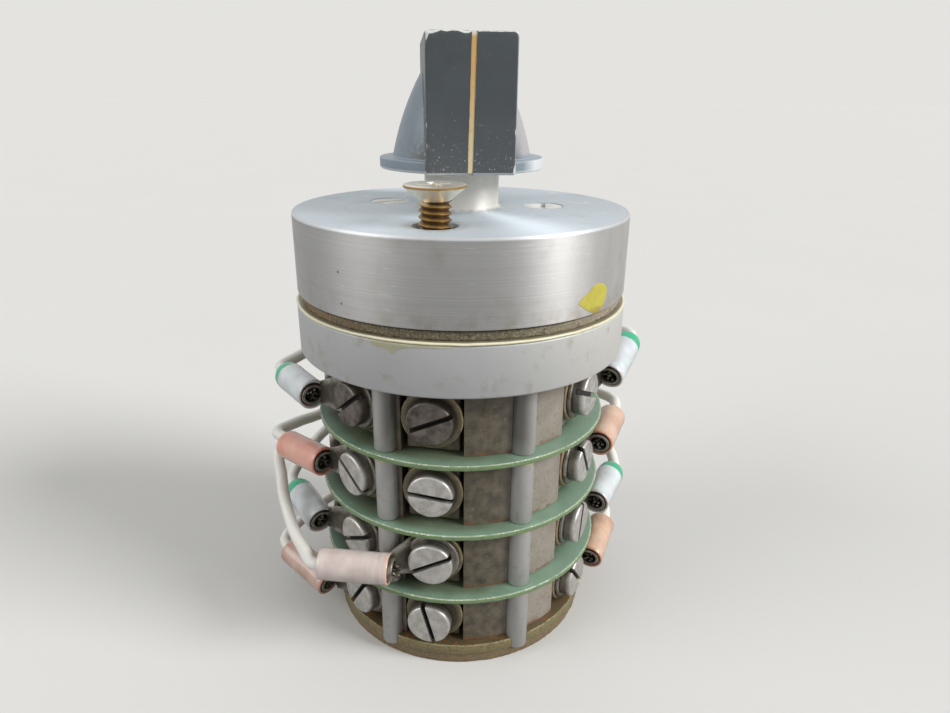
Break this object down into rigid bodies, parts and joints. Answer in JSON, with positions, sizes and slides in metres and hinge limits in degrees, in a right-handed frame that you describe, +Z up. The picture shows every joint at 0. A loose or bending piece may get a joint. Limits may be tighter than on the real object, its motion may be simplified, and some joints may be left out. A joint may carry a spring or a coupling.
{
  "type": "rotary wafer switch",
  "caption": "Rotary wafer switch: bar knob on a round flanged detent housing, over stacked wafers with screw terminals, ring lugs and jumper wires.",
  "frame": {"origin": "on the shaft's axis at the underside of the end plate", "axes": "+Z up the shaft towards the knob, -Y towards the front, where the index line points, +X to the right"},
  "size_m": [0.0601, 0.0514, 0.0864],
  "materials": {
    "aluminium": "satin, turned",
    "housing_anodised": "dull anodised, chalky",
    "knob_enamel": "worn enamel, chipped at the edges",
    "bright_steel": "satin",
    "gold_chromate": "gold chromate over steel",
    "gasket_cork": "granular, dull",
    "seal_cream": "hardened sealant",
    "wafer_moulding": "mineral-filled moulding",
    "green_laminate": "glass laminate, faint sparkle",
    "foot_laminate": "speckled laminate",
    "end_plate_laminate": "cloth laminate",
    "spacer_grey": "dull, grimy",
    "tinned_lug": "tinned copper",
    "pink_sleeve": "translucent",
    "white_sleeve": "translucent, green at the far end",
    "wire_cream": "satin insulation",
    "spring_steel": "bright",
    "contact_brass": "bright",
    "rotor_moulding": "moulded"
  },
  "bodies": {
    "stack": {"cover_screw_left": "bright_steel", "cover_screw_right": "bright_steel", "detent_ball": "bright_steel", "detent_spring": "spring_steel", "end_plate": "end_plate_laminate", "foot_insulator": "foot_laminate", "gasket": "gasket_cork", "housing": "housing_anodised", "insulator_disc_1": "green_laminate", "insulator_disc_2": "green_laminate", "insulator_disc_3": "green_laminate", "jumper_1": "wire_cream", "jumper_2": "wire_cream", "jumper_3": "wire_cream", "jumper_4": "wire_cream", "jumper_5": "wire_cream", "lug_front_3": "tinned_lug", "lug_left_1": "tinned_lug", "lug_left_2": "tinned_lug", "lug_left_3": "tinned_lug", "lug_left_4": "tinned_lug", "lug_right_1": "tinned_lug", "lug_right_2": "tinned_lug", "lug_right_3": "tinned_lug", "lug_right_4": "tinned_lug", "mounting_screw": "gold_chromate", "seal_bead": "seal_cream", "shaft_bushing": "contact_brass", "sleeve_front_3": "pink_sleeve", "sleeve_left_1": "white_sleeve", "sleeve_left_2": "pink_sleeve", "sleeve_left_3": "white_sleeve", "sleeve_left_4": "pink_sleeve", "sleeve_right_1": "white_sleeve", "sleeve_right_2": "pink_sleeve", "sleeve_right_3": "white_sleeve", "sleeve_right_4": "pink_sleeve", "stator_1": "wafer_moulding", "stator_2": "wafer_moulding", "stator_3": "wafer_moulding", "stator_4": "wafer_moulding", "tie_rod_1": "spacer_grey", "tie_rod_2": "spacer_grey", "tie_rod_3": "spacer_grey", "tie_rod_4": "spacer_grey", "top_plate": "aluminium"},
    "selector": {"knob": "knob_enamel", "knob_set_screw": "spring_steel", "shaft": "bright_steel", "detent_wheel": "bright_steel", "retaining_ring": "spring_steel", "rotor_1": "rotor_moulding", "rotor_2": "rotor_moulding", "rotor_3": "rotor_moulding", "rotor_4": "rotor_moulding", "wiper_1": "contact_brass", "wiper_2": "contact_brass", "wiper_3": "contact_brass", "wiper_4": "contact_brass"}
  },
  "joints": [
    {"name": "selector_turn", "type": "hinge", "parent": "stack", "child": "selector", "pos_m": [0, 0, 0.0644], "axis": [0, 0, 1], "range_deg": [-144, 144]}
  ]
}
